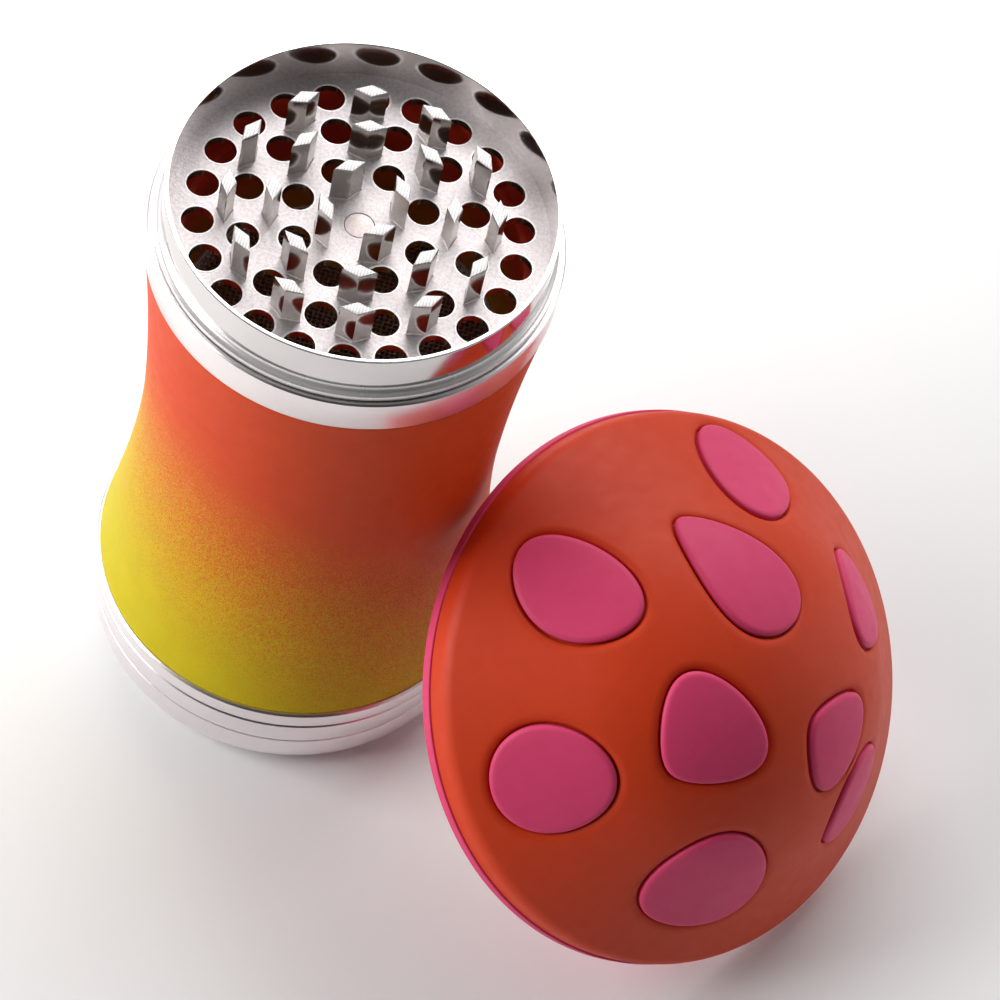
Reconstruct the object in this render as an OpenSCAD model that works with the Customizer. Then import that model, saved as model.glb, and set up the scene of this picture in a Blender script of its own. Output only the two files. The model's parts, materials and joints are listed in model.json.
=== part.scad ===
// Hand grinder for herbs or spices, shaped like a mushroom.
// The body stands open with its tooth plate on show. The cap leans beside it.
// All lengths are in millimetres. Z is up and the base stands on z = 0.

/* [Base] */
// Radius of the base cup and its bands
base_r = 28.6; // [24:0.1:34]
// Height of the base cup
base_h = 11.5; // [8:0.5:20]
// Height of the lower band of the base cup
base_band_z = 7.2; // [4:0.1:9]
// Radius of the flat foot under the base cup
foot_r = 24.6; // [20:0.1:27]
// Thickness of the base cup's floor
base_floor = 2; // [1.5:0.1:4]
// Inside radius of the base cup
base_bore_r = 26; // [22:0.1:27]

/* [Stem] */
// Thickness of the gasket between base and stem
low_gasket_t = 0.5; // [0.3:0.1:1]
// Height where the sprayed stem shell starts
shell_z0 = 14.8; // [13:0.1:18]
// Height where the sprayed stem shell ends
shell_z1 = 85.6; // [60:0.1:95]
// Radius of the shell at its lower end
shell_r0 = 28.3; // [24:0.1:34]
// Radius of the shell at its waist
waist_r = 24.4; // [23.5:0.1:28]
// Height of the waist
waist_z = 51; // [35:0.5:65]
// Radius of the shell at its upper end
shell_r1 = 26.5; // [25.5:0.1:30]
// Radius of the bore through the shell
bore_r = 21.8; // [18:0.1:22.5]
// Outside radius of the top collar
collar_r = 26.6; // [25.8:0.1:30]
// Height of the top collar's upper edge
collar_z1 = 91; // [86:0.1:98]
// Height of the woven screen
screen_z = 66.5; // [40:0.5:80]
// Side of one screen opening
screen_gap = 2.2; // [0.8:0.1:3]
// Thickness of a screen wire
wire_d = 0.4; // [0.2:0.05:0.6]

/* [Tooth plate] */
// Height of the plate's upper face
plate_z = 92; // [88:0.1:98]
// Thickness of the plate
plate_t = 1.1; // [0.8:0.1:4]
// Outside radius of the rim
rim_r = 25; // [22:0.1:30]
// Wall thickness of the rim
rim_wall = 0.65; // [0.5:0.05:2]
// Height of the rim above the plate
rim_h = 6; // [3:0.1:12]
// Radius of the thin flange under the rim
flange_r = 26; // [25.4:0.1:27]
// Radius of a hole
hole_r = 2.05; // [1:0.05:2.6]
// Holes in the outer, middle and inner rings
hole_counts = [22, 12, 8];
// Radius of each ring of holes
hole_rings = [20.4, 14.95, 8.65];
// Angle of the first hole in each ring
hole_turns = [0, 24.8, 32.7];
// Teeth in the outer, middle and inner rings
tooth_counts = [12, 8, 4];
// Radius of each ring of teeth
tooth_rings = [17, 11.35, 5.15];
// Angle of the first tooth in each ring
tooth_turns = [10.4, 10.2, 34.6];
// Height of a tooth
tooth_h = 5.9; // [3:0.1:8]
// Long diagonal of the diamond tooth
tooth_long = 4.4; // [2:0.1:6]
// Short diagonal of the diamond tooth
tooth_short = 2; // [1:0.1:3]
// Radius of the plate's magnet
magnet_r = 1.9; // [1:0.1:3]

/* [Cap] */
// Radius of the cap's pink lip
cap_r = 38.8; // [34:0.1:48]
// Height of the cap from lip to crown
cap_h = 30; // [28:0.5:32]
// Height of the pink lip
lip_h = 2; // [0.8:0.1:3]
// Wall thickness of the cap shell
cap_wall = 2.4; // [1.5:0.1:4]
// Height of the straight wall under the dome's shoulder
wall_h = 4.3; // [2:0.1:8]
// Radius of the dome's shoulder
shoulder_r = 2.95; // [2.6:0.05:6]
// Slope of the dome's flank
flank_slope = 46; // [42:0.5:50]
// How far a spot stands out of the dome
spot_proud = 0.35; // [0:0.05:1]
// Depth of the pocket that holds a spot
spot_deep = 1; // [0.5:0.1:1.6]
// Gap around a spot
spot_gap = 0.3; // [0.1:0.05:0.6]

/* [Lid] */
// Teeth in the lid's outer, middle and inner rings
lid_tooth_counts = [10, 7, 4];
// Radius of each ring of lid teeth
lid_tooth_rings = [20.5, 14.2, 8.2];
// Inside radius of the friction ring
ring_in_r = 25.35; // [25.2:0.05:26]
// Outside radius of the friction ring
ring_out_r = 26.3; // [26:0.1:28]

/* [Resting place of the cap] */
// Centre of the cap's lip when it leans beside the body
rest_at = [54.6, -13.6, 24.4];
// Lean of the cap's axis away from upright
rest_tilt = 38; // [0:0.5:90]
// Direction the cap's axis points, seen from above
rest_turn = -33.5; // [-180:1:180]

/* [Hidden] */
$fn = 64;
spigot_r = base_bore_r - 0.3;
stem_z0 = base_h + low_gasket_t;
upper_gasket_t = 0.25;
flange_z0 = collar_z1 + upper_gasket_t;
flange_z1 = flange_z0 + 0.75;
rim_in = rim_r - rim_wall;
plate_spigot_r = 24.3;
plate_spigot_z = 86.6;
// Boss under the plate that holds the magnet
magnet_boss_r = magnet_r + 1;
magnet_boss_h = 2.3;
// How far the rim's foot spreads onto the flange
flare = 0.7;
collar_bore_r = plate_spigot_r + 0.3;
lid_z0 = 6.6;
lid_z1 = 8.6;
dome_r = cap_r - 0.3;
// Where the shoulder meets the flank, and the radius of the round crown
flank_r = dome_r - shoulder_r * (1 - sin(flank_slope));
flank_z = wall_h + shoulder_r * cos(flank_slope);
crown_r = (flank_r * tan(flank_slope) - cap_h + flank_z) / (1 / cos(flank_slope) - 1);
crown_z = cap_h - crown_r;

silver = [0.78, 0.77, 0.78];
orange = [0.82, 0.30, 0.16];
pink = [0.85, 0.28, 0.48];

// Each spot: angle around the cap, distance from its axis, half length,
// half width, how egg-shaped it is, and its turn on the surface.
SPOTS = [
  [136, 30.6, 7.0, 8.9, 0.28, 276],
  [162, 17.6, 10.5, 6.2, 0.4, 22],
  [-152, 28.4, 6.8, 9.5, 0.16, 80],
  [87, 24.2, 6.3, 7.1, 0.47, 311],
  [-100, 29.6, 8.6, 7.6, 0.1, 166],
  [-97, 12.4, 7.1, 8.0, 0.38, 21],
  [26, 11.9, 6.0, 6.7, 0.38, 187],
  [20, 24.6, 7.6, 5.8, 0.11, 300],
  [-42, 26.8, 9.1, 9.1, 0.24, 308]
];

// Outline of the dome from lip to crown, grown outwards by g.
function dome_line(g) = concat(
  [[dome_r + g, 0]],
  [for (i = [0:7]) let (a = i * (90 - flank_slope) / 7)
    [dome_r - shoulder_r + (shoulder_r + g) * cos(a), wall_h + (shoulder_r + g) * sin(a)]],
  [for (i = [0:15]) let (a = flank_slope * (1 - i / 15))
    [(crown_r + g) * sin(a), crown_z + (crown_r + g) * cos(a)]]);
// Height of the dome at a distance from its axis, and the lean of its surface.
function dome_z(r) = r < crown_r * sin(flank_slope) ? crown_z + sqrt(crown_r * crown_r - r * r) :
  flank_z + (flank_r - r) * tan(flank_slope);
function dome_lean(r) = atan2(dome_z(r - 0.2) - dome_z(r + 0.2), 0.4);

function egg(s, g) = [for (i = [0:23]) let (t = i * 15)
  [(s[2] + g) * cos(t), (s[3] + g) * sin(t) * (1 - s[4] * cos(t))]];

// The stem's outline, a smooth curve through its lower edge, waist and top.
function stem_r(z) = z < waist_z
  ? waist_r + (shell_r0 - waist_r) * pow((waist_z - z) / (waist_z - shell_z0), 1.75)
  : waist_r + (shell_r1 - waist_r) * pow((z - waist_z) / (shell_z1 - waist_z), 1.9);
stem_steps = 22;

module at_rest() translate(rest_at) rotate([0, 0, rest_turn]) rotate([0, rest_tilt, 0]) children();

module ring(r0, r1, z0, z1) {
  translate([0, 0, z0]) difference() {
    cylinder(r = r1, h = z1 - z0);
    translate([0, 0, -1]) cylinder(r = r0, h = z1 - z0 + 2);
  }
}

module diamond_post(z0, z1) {
  translate([0, 0, z0]) linear_extrude(height = z1 - z0)
    polygon([[-tooth_short / 2, 0], [0, -tooth_long / 2], [tooth_short / 2, 0], [0, tooth_long / 2]]);
}

module base_cup() {
  color(silver) rotate_extrude() difference() {
    union() {
      translate([foot_r, 4]) intersection() {
        circle(r = 4);
        translate([0, -5]) square([5, 5]);
      }
      square([foot_r, 4]);
      translate([0, 4]) square([base_r, base_h - 4 - 0.25]);
      translate([0, base_h - 0.25]) square([base_r - 0.25, 0.25]);
    }
    translate([base_r - 0.25, base_band_z]) square([1, 0.3]);
    translate([0, base_floor + 3]) square([base_bore_r, base_h]);
    translate([0, base_floor]) square([base_bore_r - 3, 4]);
    translate([base_bore_r - 3, base_floor + 3]) circle(r = 3);
  }
}

module lower_gasket() {
  color([0.2, 0.2, 0.2]) ring(base_bore_r + 0.2, base_r - 0.5, base_h, stem_z0);
}

module lower_collar() {
  color(silver) rotate_extrude() difference() {
    union() {
      translate([0, stem_z0]) square([base_r + 0.1, shell_z0 - stem_z0 - 0.25]);
      translate([0, shell_z0 - 0.25]) square([base_r - 0.1, 0.25]);
      translate([0, stem_z0 - 5.5]) square([spigot_r, 6]);
    }
    translate([0, 0]) square([spigot_r - 2.4, 30]);
  }
}

module stem_shell() {
  color(orange) rotate_extrude() difference() {
    polygon(concat(
      [[0, shell_z0]],
      [for (i = [0:stem_steps]) let (z = shell_z0 + (shell_z1 - shell_z0) * i / stem_steps)
        [stem_r(z), z]],
      [[0, shell_z1]]));
    translate([0, 0]) square([bore_r - 0.6, 200]);
    translate([0, screen_z - 0.8]) square([bore_r, 200]);
  }
}

module top_collar() {
  color(silver) rotate_extrude() difference() {
    union() {
      translate([0, shell_z1]) square([collar_r - 0.1, 0.3]);
      translate([0, shell_z1 + 0.3]) square([collar_r, collar_z1 - shell_z1 - 0.5]);
      translate([0, collar_z1 - 0.3]) square([collar_r - 0.2, 0.3]);
    }
    translate([0, 0]) square([bore_r, 200]);
    translate([0, shell_z1 + 0.8]) square([collar_bore_r, 20]);
  }
}

module screen_mesh() {
  p = screen_gap + wire_d;
  n = floor(21.2 / p);
  color([0.25, 0.22, 0.2]) translate([0, 0, screen_z]) linear_extrude(height = 0.5) intersection() {
    circle(r = 21.2);
    union() for (i = [-n:n]) {
      translate([i * p - wire_d / 2, -22]) square([wire_d, 44]);
      translate([-22, i * p - wire_d / 2]) square([44, wire_d]);
    }
  }
}

module screen_ring() {
  color(silver) union() {
    ring(20.2, bore_r - 0.05, screen_z - 0.8, screen_z);
    ring(21.25, bore_r - 0.05, screen_z - 0.4, screen_z + 0.9);
  }
}

module upper_gasket() {
  color([0.1, 0.1, 0.1]) ring(plate_spigot_r + 0.1, flange_r - 0.6, collar_z1, flange_z0);
}

module tooth_plate() {
  color(silver) union() {
    difference() {
      rotate_extrude() difference() {
        union() {
          translate([0, plate_spigot_z]) square([plate_spigot_r, plate_z - 0.2 - plate_spigot_z]);
          translate([0, flange_z0]) square([flange_r, flange_z1 - flange_z0]);
          translate([0, flange_z1 - 0.1]) square([rim_r, plate_z + rim_h - flange_z1 - 0.05]);
          polygon([[rim_r - 0.1, flange_z1 - 0.1], [rim_r + flare, flange_z1 - 0.1],
            [rim_r + flare, flange_z1], [rim_r + 0.2, flange_z1 + 0.25], [rim_r, flange_z1 + 0.8],
            [rim_r - 0.1, flange_z1 + 0.8]]);
          translate([0, plate_z + rim_h - 0.2]) square([rim_r - 0.15, 0.2]);
        }
        translate([0, plate_z]) square([rim_in, 20]);
        translate([magnet_boss_r, 0])
          square([plate_spigot_r - 1.7 - magnet_boss_r, plate_z - plate_t]);
        square([magnet_boss_r + 1, plate_z - magnet_boss_h]);
      }
      for (k = [0:2]) for (i = [0:hole_counts[k] - 1])
        rotate([0, 0, hole_turns[k] + i * 360 / hole_counts[k]])
          translate([hole_rings[k], 0, 0]) {
            translate([0, 0, plate_z - 5]) cylinder(r = hole_r, h = 10);
            translate([0, 0, plate_z - 0.3]) cylinder(r1 = hole_r, r2 = hole_r + 0.4, h = 0.4);
          }
      translate([0, 0, plate_z - 1.8]) cylinder(r = magnet_r + 0.05, h = 5);
    }
    for (k = [0:2]) for (i = [0:tooth_counts[k] - 1])
      rotate([0, 0, tooth_turns[k] + i * 360 / tooth_counts[k]])
        translate([tooth_rings[k], 0, 0]) diamond_post(plate_z - 0.3, plate_z + tooth_h);
  }
}

module chamber_magnet() {
  color([0.95, 0.9, 0.88]) translate([0, 0, plate_z - 1.8]) cylinder(r = magnet_r, h = 1.75);
}

module spot_place(s) {
  rotate([0, 0, s[0]]) translate([s[1], 0, dome_z(s[1])]) rotate([0, dome_lean(s[1]), 0])
    rotate([0, 0, s[5]]) children();
}

module spot_prism(s, g) {
  spot_place(s) translate([0, 0, -5]) linear_extrude(height = 9) polygon(egg(s, g));
}

module dome_solid(g) {
  rotate_extrude() polygon(concat([[0, 0]], dome_line(g)));
}

module cap_shell() {
  color(orange) at_rest() difference() {
    intersection() {
      dome_solid(0);
      translate([0, 0, lip_h]) cylinder(r = 60, h = 60);
    }
    dome_solid(-cap_wall);
    difference() {
      union() for (s = SPOTS) spot_prism(s, spot_gap);
      dome_solid(-spot_deep - 0.05);
    }
  }
}

module spot(i) {
  color(pink) at_rest() difference() {
    intersection() {
      spot_prism(SPOTS[i], 0);
      dome_solid(spot_proud);
    }
    dome_solid(-spot_deep);
  }
}

module cap_liner() {
  color(pink) at_rest() difference() {
    union() {
      rotate_extrude() difference() {
        union() {
          translate([0, 0.35]) square([cap_r, lip_h - 0.35]);
          square([cap_r - 0.35, lip_h]);
          translate([0, lip_h]) square([35.4, 2.2]);
          square([29.4, 10.2]);
        }
        translate([0, -1]) square([27.9, lid_z1 + 1.1]);
        translate([29.4, lip_h]) square([34.2 - 29.4, 5]);
      }
      for (i = [0:3]) rotate([0, 0, 20 + i * 90]) translate([17.3, 0, 10]) cylinder(r = 2.6, h = 3);
    }
    for (i = [0:3]) rotate([0, 0, 20 + i * 90]) translate([17.3, 0, 5]) cylinder(r = 1.05, h = 7.3);
  }
}

module lid_plate() {
  color(silver) at_rest() union() {
    difference() {
      union() {
        translate([0, 0, lid_z0]) cylinder(r = 27.4, h = lid_z1 - lid_z0);
        ring(26.4, 27.4, 0.5, lid_z0 + 0.1);
        ring(25.8, 26.6, 0.5, 0.9);
      }
      for (i = [0:3]) rotate([0, 0, 20 + i * 90]) translate([17.3, 0, 0]) {
        cylinder(r = 1.05, h = 20);
        translate([0, 0, lid_z0 - 0.1]) cylinder(r1 = 2.05, r2 = 1.05, h = 1.1);
      }
      cylinder(r = magnet_r + 0.05, h = 20);
    }
    for (k = [0:2]) for (i = [0:lid_tooth_counts[k] - 1])
      rotate([0, 0, i * 360 / lid_tooth_counts[k]])
        translate([lid_tooth_rings[k], 0, 0]) diamond_post(0.4, lid_z0 + 0.2);
  }
}

module lid_magnet() {
  color([0.9, 0.9, 0.9]) at_rest() translate([0, 0, lid_z0 + 0.1]) cylinder(r = magnet_r, h = 1.9);
}

module lid_screws() {
  color(silver) at_rest() for (i = [0:3]) rotate([0, 0, 20 + i * 90]) translate([17.3, 0, lid_z0]) {
    cylinder(r1 = 1.9, r2 = 1, h = 0.95);
    translate([0, 0, 0.9]) cylinder(r = 1, h = 4.6);
  }
}

module friction_ring() {
  color([0.93, 0.92, 0.88]) at_rest() union() {
    ring(ring_in_r, ring_out_r, 1, 6.5);
    ring(24.2, ring_in_r + 0.2, 6, 6.5);
  }
}

base_cup();
lower_gasket();
lower_collar();
stem_shell();
top_collar();
screen_mesh();
screen_ring();
upper_gasket();
tooth_plate();
chamber_magnet();
friction_ring();
cap_shell();
cap_liner();
lid_plate();
lid_magnet();
lid_screws();
spot(0);  // spot_01
spot(1);  // spot_02
spot(2);  // spot_03
spot(3);  // spot_04
spot(4);  // spot_05
spot(5);  // spot_06
spot(6);  // spot_07
spot(7);  // spot_08
spot(8);  // spot_09
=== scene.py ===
import json
import math

import bmesh
import bpy
import numpy as np
from mathutils import Matrix, Vector
from mathutils.geometry import delaunay_2d_cdt


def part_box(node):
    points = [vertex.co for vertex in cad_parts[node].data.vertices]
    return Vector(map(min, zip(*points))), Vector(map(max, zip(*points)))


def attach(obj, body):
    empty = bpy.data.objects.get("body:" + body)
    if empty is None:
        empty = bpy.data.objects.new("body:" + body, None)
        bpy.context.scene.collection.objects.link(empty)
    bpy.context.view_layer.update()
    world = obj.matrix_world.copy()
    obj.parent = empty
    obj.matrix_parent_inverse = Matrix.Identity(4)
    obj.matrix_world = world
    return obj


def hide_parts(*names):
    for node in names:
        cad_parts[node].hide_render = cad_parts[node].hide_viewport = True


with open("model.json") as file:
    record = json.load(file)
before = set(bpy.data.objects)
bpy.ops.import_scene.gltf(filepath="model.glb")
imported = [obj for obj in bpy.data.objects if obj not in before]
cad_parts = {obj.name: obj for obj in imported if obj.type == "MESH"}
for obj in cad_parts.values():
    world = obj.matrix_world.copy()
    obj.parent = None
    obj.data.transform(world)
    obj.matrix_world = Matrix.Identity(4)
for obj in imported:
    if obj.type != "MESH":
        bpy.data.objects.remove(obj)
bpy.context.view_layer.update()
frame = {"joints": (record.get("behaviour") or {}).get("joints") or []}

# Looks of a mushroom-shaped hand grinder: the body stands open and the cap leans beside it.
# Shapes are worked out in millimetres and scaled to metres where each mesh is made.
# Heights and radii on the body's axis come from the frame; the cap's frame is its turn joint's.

MM = 0.001
RNG = np.random.default_rng(7)
ROUND_STEPS = 192          # sides of a turned piece

# ---------------------------------------------------------------- sizes (mm)
BAND_STEP = 0.25           # depth of the turned grooves
BASE_BAND_Z = 7.2          # groove of the base cup
FOOT_R, FOOT_ROUND = 24.6, 4.0
BASE_FLOOR, BASE_BORE, BASE_INNER_ROUND = 2.0, 26.0, 3.0
SPIGOT_R, SPIGOT_BORE = 25.7, 23.3
WAIST_R, WAIST_Z, SHELL_R0, SHELL_R1 = 24.4, 51.0, 28.3, 26.5
STEM_BORE, STEM_LEDGE, SCREEN_Z = 21.8, 21.2, 66.5
COLLAR_BORE = 24.6
PLATE_Z, PLATE_T = 92.0, 1.1
RIM_R, RIM_WALL, RIM_H = 25.0, 0.65, 6.0
PLATE_SPIGOT_R, PLATE_SPIGOT_WALL = 24.3, 1.7
FLANGE_R, FLANGE_T, FLARE = 26.0, 0.75, 0.7
BOSS_R, BOSS_H = 2.9, 2.3          # holds the magnet under the plate
HOLE_R, EDGE_W, EDGE_UP = 2.05, 0.26, 0.03     # a faint raised edge rings each hole, coloured near-white as a painted highlight
HOLES = ((22, 20.4, 0.0), (12, 14.95, 24.8), (8, 8.65, 32.7))   # count, ring radius, first angle
TEETH = ((12, 17.0, 10.4), (8, 11.35, 10.2), (4, 5.15, 34.6))
TOOTH_H, TOOTH_LONG, TOOTH_SHORT = 5.9, 4.4, 2.0
MAGNET_R, MAGNET_T = 1.9, 1.75
WIRE_PITCH, WIRE_R, SCREEN_R = 0.66, 0.115, 21.1
WIRE_SIDES = 5
SEAT_IN, SEAT_OUT, SEAT_WALL = 20.2, 21.75, 21.25       # ring that holds the screen
SEAT_DOWN, SEAT_UP = 0.8, 0.9      # how far it reaches below and above the screen
COLLAR_LEDGE = 0.8                 # the top collar's inner ledge
HOLE_STEPS = 40                    # sides of a hole
MAGNET_GAP = 0.05                  # between a magnet and its seat
CAP_R, CAP_H, LIP_H, CAP_WALL = 38.8, 30.0, 2.0, 2.4
DOME_R, WALL_H, SHOULDER_R, FLANK = 38.5, 4.3, 2.95, math.radians(46)
FLANK_R = DOME_R - SHOULDER_R * (1 - math.sin(FLANK))     # where the shoulder meets the flank
FLANK_Z = WALL_H + SHOULDER_R * math.cos(FLANK)
CROWN_R = (FLANK_R * math.tan(FLANK) - CAP_H + FLANK_Z) / (1 / math.cos(FLANK) - 1)
CROWN_EDGE = CROWN_R * math.sin(FLANK)                    # where the flank meets the round crown
SPOT_PROUD, SPOT_DEEP, SPOT_GAP = 0.35, 1.0, 0.3
ROLL_W, ROLL_DROP = 1.3, 0.55      # how the shell rolls down to the gap round a spot
PAD_ROUND, PAD_DROP = 0.85, 0.5    # rounded edge of a spot
SPOT_STEPS = 112                   # points round a spot
SHELL_PITCH = 1.15                 # spacing of the points on the dome
LID_Z0, LID_Z1, LID_R = 6.6, 8.6, 27.4
SKIRT_IN, SKIRT_STEP_R = 25.8, 26.4                     # the lid plate's skirt
SKIRT_Z0, SKIRT_STEP_Z = 0.5, 0.9
NYLON_IN, NYLON_R, NYLON_LEG = 25.35, 26.3, 24.2        # the friction ring, an angle in section
NYLON_Z0, NYLON_Z1 = 1.0, 6.5
LINER_IN, LINER_R, LINER_Z1 = 27.9, 29.4, 10.2          # the liner's wall and roof
LINER_ROOF = 1.1                   # gap between the lid plate and the roof
RIB_IN, RIB_OUT, RIB_H = 34.2, 35.4, 2.2                # the liner's rib inside the shell
LID_TEETH = ((10, 20.5, 0.0), (7, 14.2, 0.0), (4, 8.2, 0.0))
SCREW_RING, SCREW_TURN, SCREWS = 17.3, 20.0, 4

# angle round the cap, distance from its axis, half length, half width, egg shape, turn
SPOTS = (
    (136, 30.6, 7.0, 8.9, 0.28, 276),
    (162, 17.6, 10.5, 6.2, 0.40, 22),
    (-152, 28.4, 6.8, 9.5, 0.16, 80),
    (87, 24.2, 6.3, 7.1, 0.47, 311),
    (-100, 29.6, 8.6, 7.6, 0.10, 166),
    (-97, 12.4, 7.1, 8.0, 0.38, 21),
    (26, 11.9, 6.0, 6.7, 0.38, 187),
    (20, 24.6, 7.6, 5.8, 0.11, 300),
    (-42, 26.8, 9.1, 9.1, 0.24, 308),
)

# ---------------------------------------------------------------- paint, light and view
FADE_Z0, FADE_Z1 = 6.0, 64.0       # heights (mm) over which the stem turns from yellow to orange
FADE_LEAN_CAP_SHADE = 0.48                   # how far the fade sinks for each mm towards +X, the cap's side: painted shade and reddish reflection of the cap
BORE_FADE_Z0, BORE_FADE_Z1 = 66, 84                     # the same for the tint inside the stem
STUDIO_DARK_SIDE = (0.05, -0.80, 0.60)                  # direction of the unlit part of the studio
STUDIO_FADE = (0.10, 0.85)         # how directly a ray faces that side: still bright, and fully dark
SKY_BRIGHT, SKY_DARK = 0.42, 0.02
LIGHT_AIM = (0.02, 0, 0.05)
LAMPS = (                          # name, place (m), width and height (m), power (W)
    ("key_left", (-0.62, -0.16, 0.34), (0.45, 0.5), 5.0),
    ("top_back", (-0.05, 0.55, 0.62), (0.9, 0.4), 4.8),
    ("right_edge", (0.62, 0.25, 0.22), (0.25, 0.5), 0.5),
)
FLOOR_HALF = 2.5                   # half the floor's side (m)
CAMERA_AT = (0.0197, -0.2586, 0.4343)
CAMERA_RIGHT = (0.9660, 0.2157, 0.1424)                 # the picture's right-hand direction
CAMERA_AHEAD = (0.0, 0.5509, -0.8346)
PAN_RIGHT, PAN_DOWN = 0.76, 0.42   # degrees that frame body and cap with even margins
LENS, SENSOR = 122.4, 36.0


def span(node):
    """Lowest height, highest height and outside radius of a node on the body's axis, in mm."""
    lo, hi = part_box(node)
    return lo[2] / MM, hi[2] / MM, (hi[0] - lo[0]) / 2 / MM


def cap_frame():
    """The cap's own frame, in mm: origin at the middle of its lip, Z along its axis."""
    joint = next(j for j in frame["joints"] if j["name"] == "cap_turn")
    ax = Vector(joint["axis"]).normalized()
    tilt, turn = math.acos(ax.z), math.atan2(ax.y, ax.x)
    place = Matrix.Translation(Vector(joint["pos_m"]) / MM)
    return place @ Matrix.Rotation(turn, 4, "Z") @ Matrix.Rotation(tilt, 4, "Y")


CAP = cap_frame()


# ---------------------------------------------------------------- node materials
def srgb(r, g, b):
    """Linear colour of an 8-bit sRGB one."""
    def lin(c):
        c /= 255
        return c / 12.92 if c <= 0.04045 else ((c + 0.055) / 1.055) ** 2.4
    return (lin(r), lin(g), lin(b), 1.0)


def shade(colour, factor, lift=0.0):
    """The colour made darker or brighter, and opaque."""
    return tuple(min(1, c * factor + lift) for c in colour[:3]) + (1,)


class Nodes:
    """A small helper that builds one node material around a Principled shader."""

    def __init__(self, name, rough=0.4, metallic=0.0, colour=(0.8, 0.8, 0.8, 1)):
        self.mat = bpy.data.materials.new(name)
        self.mat.use_nodes = True
        self.tree = self.mat.node_tree
        self.shader = self.tree.nodes["Principled BSDF"]
        self.set("Roughness", rough)
        self.set("Metallic", metallic)
        self.set("Base Color", colour)
        self.coord = self.add("ShaderNodeTexCoord").outputs["Object"]

    def add(self, kind, **props):
        node = self.tree.nodes.new(kind)
        for k, v in props.items():
            setattr(node, k, v)
        return node

    def link(self, a, b):
        self.tree.links.new(a, b)

    def set(self, socket, value):
        self.shader.inputs[socket].default_value = value

    def feed(self, socket, output):
        self.link(output, self.shader.inputs[socket])

    def math(self, op, a, b=None, c=None, clamp=False):
        node = self.add("ShaderNodeMath", operation=op, use_clamp=clamp)
        for i, v in enumerate((a, b, c)):
            if v is None:
                continue
            if isinstance(v, (int, float)):
                node.inputs[i].default_value = v
            else:
                self.link(v, node.inputs[i])
        return node.outputs[0]

    def scaled(self, x, y, z):
        """The object coordinates, stretched by x, y and z."""
        node = self.add("ShaderNodeMapping")
        node.inputs["Scale"].default_value = (x, y, z)
        self.link(self.coord, node.inputs["Vector"])
        return node.outputs[0]

    def noise(self, size, detail=3.0, rough=0.5, vector=None):
        """Noise with features about size millimetres across."""
        node = self.add("ShaderNodeTexNoise")
        node.inputs["Scale"].default_value = 1 / (size * MM)
        node.inputs["Detail"].default_value = detail
        node.inputs["Roughness"].default_value = rough
        self.link(vector or self.coord, node.inputs["Vector"])
        return node.outputs["Fac"]

    def cells(self, size, feature="F1"):
        node = self.add("ShaderNodeTexVoronoi", feature=feature)
        node.inputs["Scale"].default_value = 1 / (size * MM)
        self.link(self.coord, node.inputs["Vector"])
        return node

    def levels(self, fac, lo, hi, out_lo=0.0, out_hi=1.0, smooth=False):
        node = self.add("ShaderNodeMapRange", clamp=True)
        node.interpolation_type = "SMOOTHSTEP" if smooth else "LINEAR"
        for key, v in (("From Min", lo), ("From Max", hi), ("To Min", out_lo), ("To Max", out_hi)):
            node.inputs[key].default_value = v
        self.link(fac, node.inputs["Value"])
        return node.outputs["Result"]

    def mix(self, fac, a, b):
        node = self.add("ShaderNodeMix", data_type="RGBA")
        for key, v in ((0, fac), (6, a), (7, b)):
            if isinstance(v, (int, float, tuple)):
                node.inputs[key].default_value = v
            else:
                self.link(v, node.inputs[key])
        return node.outputs[2]

    def bump(self, height, depth, strength=1.0, after=None):
        """Surface relief, depth in millimetres; after is another bump to add it to."""
        node = self.add("ShaderNodeBump")
        node.inputs["Strength"].default_value = strength
        node.inputs["Distance"].default_value = depth * MM
        self.link(height, node.inputs["Height"])
        if after is not None:
            self.link(after, node.inputs["Normal"])
        return node.outputs["Normal"]

    def painted_edge_highlight(self, amount, width=0.25):
        """Painted highlight on outer edges, in patches: from 0 on flats to amount on edges."""
        geo = self.add("ShaderNodeNewGeometry")
        edge = self.levels(geo.outputs["Pointiness"], 0.515, 0.515 + width, 0, amount)
        return self.math("MULTIPLY", edge, self.levels(self.noise(1.6, 4), 0.35, 0.65, 0.3, 1.0))


def turned_metal(name, colour, rough, grain=0.5, swirl=0.006, metallic=1.0):
    """Turned aluminium: fine rings of tool marks, a soft cloudiness and faint rubbed patches."""
    n = Nodes(name, rough, metallic)
    rings = n.noise(0.32, 2.0, 0.6, n.scaled(0.02, 0.02, 1.0))
    cloud = n.noise(9, 3)
    rub = n.levels(n.noise(1.7, 6, 0.65), 0.56, 0.8, 0, 0.03)
    n.feed("Roughness", n.math("ADD", n.levels(cloud, 0.3, 0.7, rough - 0.03, rough + 0.03),
                               n.math("MULTIPLY_ADD", rings, 0.08 * grain, rub)))
    tint = n.mix(n.levels(cloud, 0.35, 0.65), shade(colour, 0.96), colour)
    n.feed("Base Color", tint)
    n.feed("Normal", n.bump(rings, swirl, 0.4 * grain, n.bump(n.noise(0.12, 2), 0.001, 0.2)))
    return n.mat


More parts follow.
